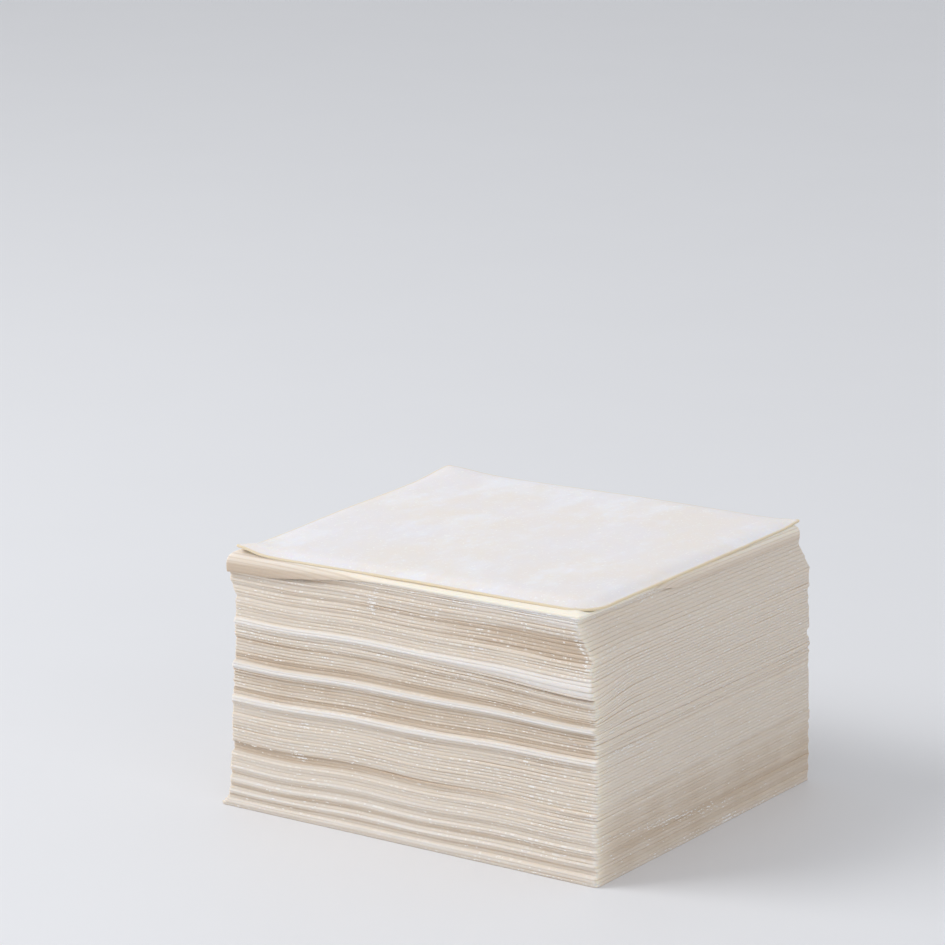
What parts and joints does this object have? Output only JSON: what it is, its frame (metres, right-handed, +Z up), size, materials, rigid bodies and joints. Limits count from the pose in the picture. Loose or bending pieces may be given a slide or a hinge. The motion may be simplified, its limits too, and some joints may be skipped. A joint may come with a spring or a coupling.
{
  "type": "stack of wonton wrappers",
  "caption": "Hand-piled block of thin, nearly square dough sheets for folding dumplings, wavy at the edges, with curled corners on the floured top sheet.",
  "frame": {"origin": "middle of the stack's footprint, on the surface it stands on", "axes": "+Z up through the sheets, X along the stack's longer side, -Y its front side"},
  "size_m": [0.0928, 0.0832, 0.0579],
  "materials": {
    "dough": "matt pressed wheat dough, cream, with a little loose flour on its cut edges",
    "floured_dough": "matt pale dough under a thin, patchy dusting of flour"
  },
  "bodies": {
    "root": {"wrapper_01": "dough", "wrapper_02": "dough", "wrapper_03": "dough", "wrapper_04": "dough", "wrapper_05": "dough", "wrapper_06": "dough", "wrappers_07_08": "dough", "wrappers_09_10": "dough", "wrappers_11_12": "dough", "wrappers_13_14": "dough", "wrappers_15_16": "dough", "wrappers_17_18": "dough", "wrappers_19_20": "dough", "wrappers_21_22": "dough", "wrappers_23_24": "dough", "wrappers_25_26": "dough", "wrappers_27_28": "dough", "wrappers_29_30": "dough", "wrappers_31_32": "dough", "wrappers_33_34": "dough", "wrappers_35_36": "dough", "wrappers_37_38": "dough", "wrappers_39_40": "dough", "wrappers_41_42": "dough", "wrappers_43_44": "dough", "wrappers_45_46": "dough", "wrappers_47_48": "dough", "wrappers_49_50": "dough", "wrapper_51": "dough", "wrapper_52": "dough", "wrapper_53": "dough", "wrapper_54": "dough", "wrapper_55": "dough", "wrapper_56": "dough", "wrapper_57": "dough", "wrapper_58": "dough", "wrapper_59": "dough", "wrapper_60": "dough", "wrapper_61": "dough", "wrapper_62": "dough", "wrapper_63": "dough", "wrapper_64": "dough", "wrapper_65": "dough", "wrapper_66": "dough", "wrapper_67": "dough", "wrapper_68": "dough", "wrapper_69": "dough", "wrapper_70": "dough", "wrapper_71": "dough", "wrapper_72": "dough", "wrapper_73": "dough", "wrapper_74": "dough", "wrapper_75": "dough", "wrapper_76": "dough", "wrapper_77": "dough", "wrapper_78": "dough", "wrapper_79": "dough", "wrapper_80": "dough", "wrapper_81": "dough", "wrapper_82": "floured_dough"}
  },
  "joints": []
}
